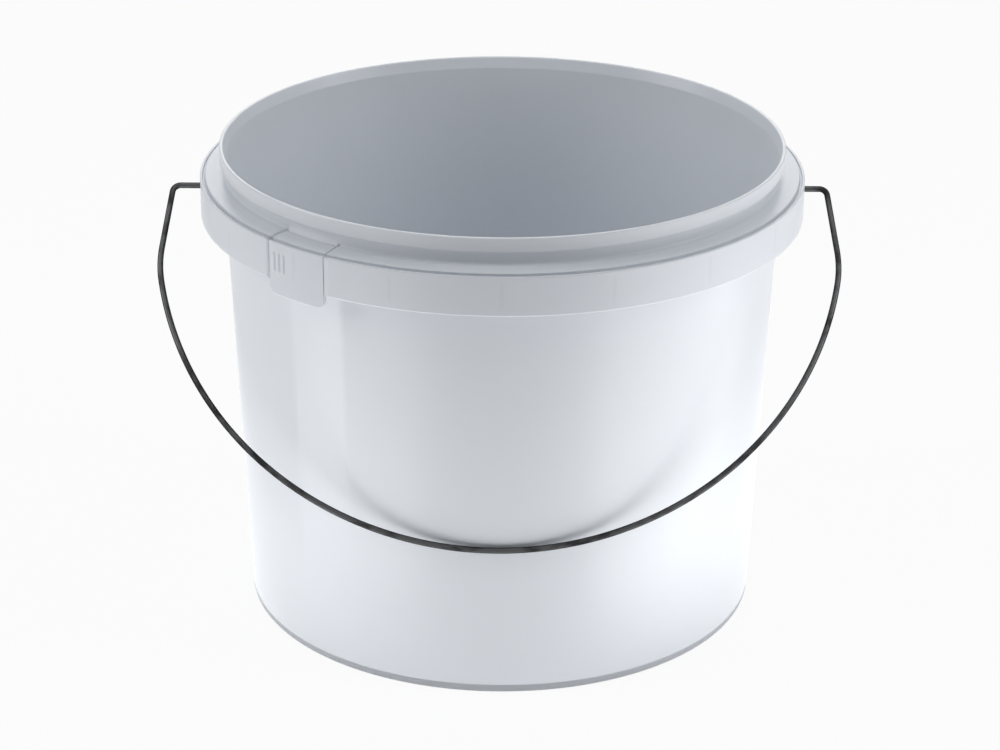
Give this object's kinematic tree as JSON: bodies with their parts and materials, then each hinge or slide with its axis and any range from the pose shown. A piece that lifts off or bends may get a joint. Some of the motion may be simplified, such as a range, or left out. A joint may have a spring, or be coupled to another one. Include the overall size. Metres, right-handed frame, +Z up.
{
  "type": "florist bucket",
  "caption": "White moulded plastic bucket with a stepped lid rim, a tear tab in the skirt and a hooked round wire bail that rests on the front wall.",
  "frame": {"origin": "centre of the standing plane, on the axis of the bucket", "axes": "+Z up, X along the bail's pivot axis, the bail at rest on the -Y side"},
  "size_m": [0.2534, 0.225, 0.1805],
  "materials": {
    "white_plastic": "glossy injection-moulded polypropylene, slightly cool white, faintly translucent",
    "bail_wire": "drawn and zinc-plated steel wire, dull grey"
  },
  "bodies": {
    "bucket": {"bucket_body": "white_plastic"},
    "bail": {"wire_bail": "bail_wire"},
    "tab": {"tear_tab": "white_plastic"}
  },
  "joints": [
    {"name": "bail_pivot", "type": "hinge", "parent": "bucket", "child": "bail", "pos_m": [0, 0, 0.1615], "axis": [-1, 0, 0], "range_deg": [0, 270]},
    {"name": "tab_web", "type": "hinge", "parent": "bucket", "child": "tab", "pos_m": [-0.06669, -0.08019, 0.1707], "axis": [-0.7688, 0.6394, 0], "range_deg": [0, 60]}
  ]
}
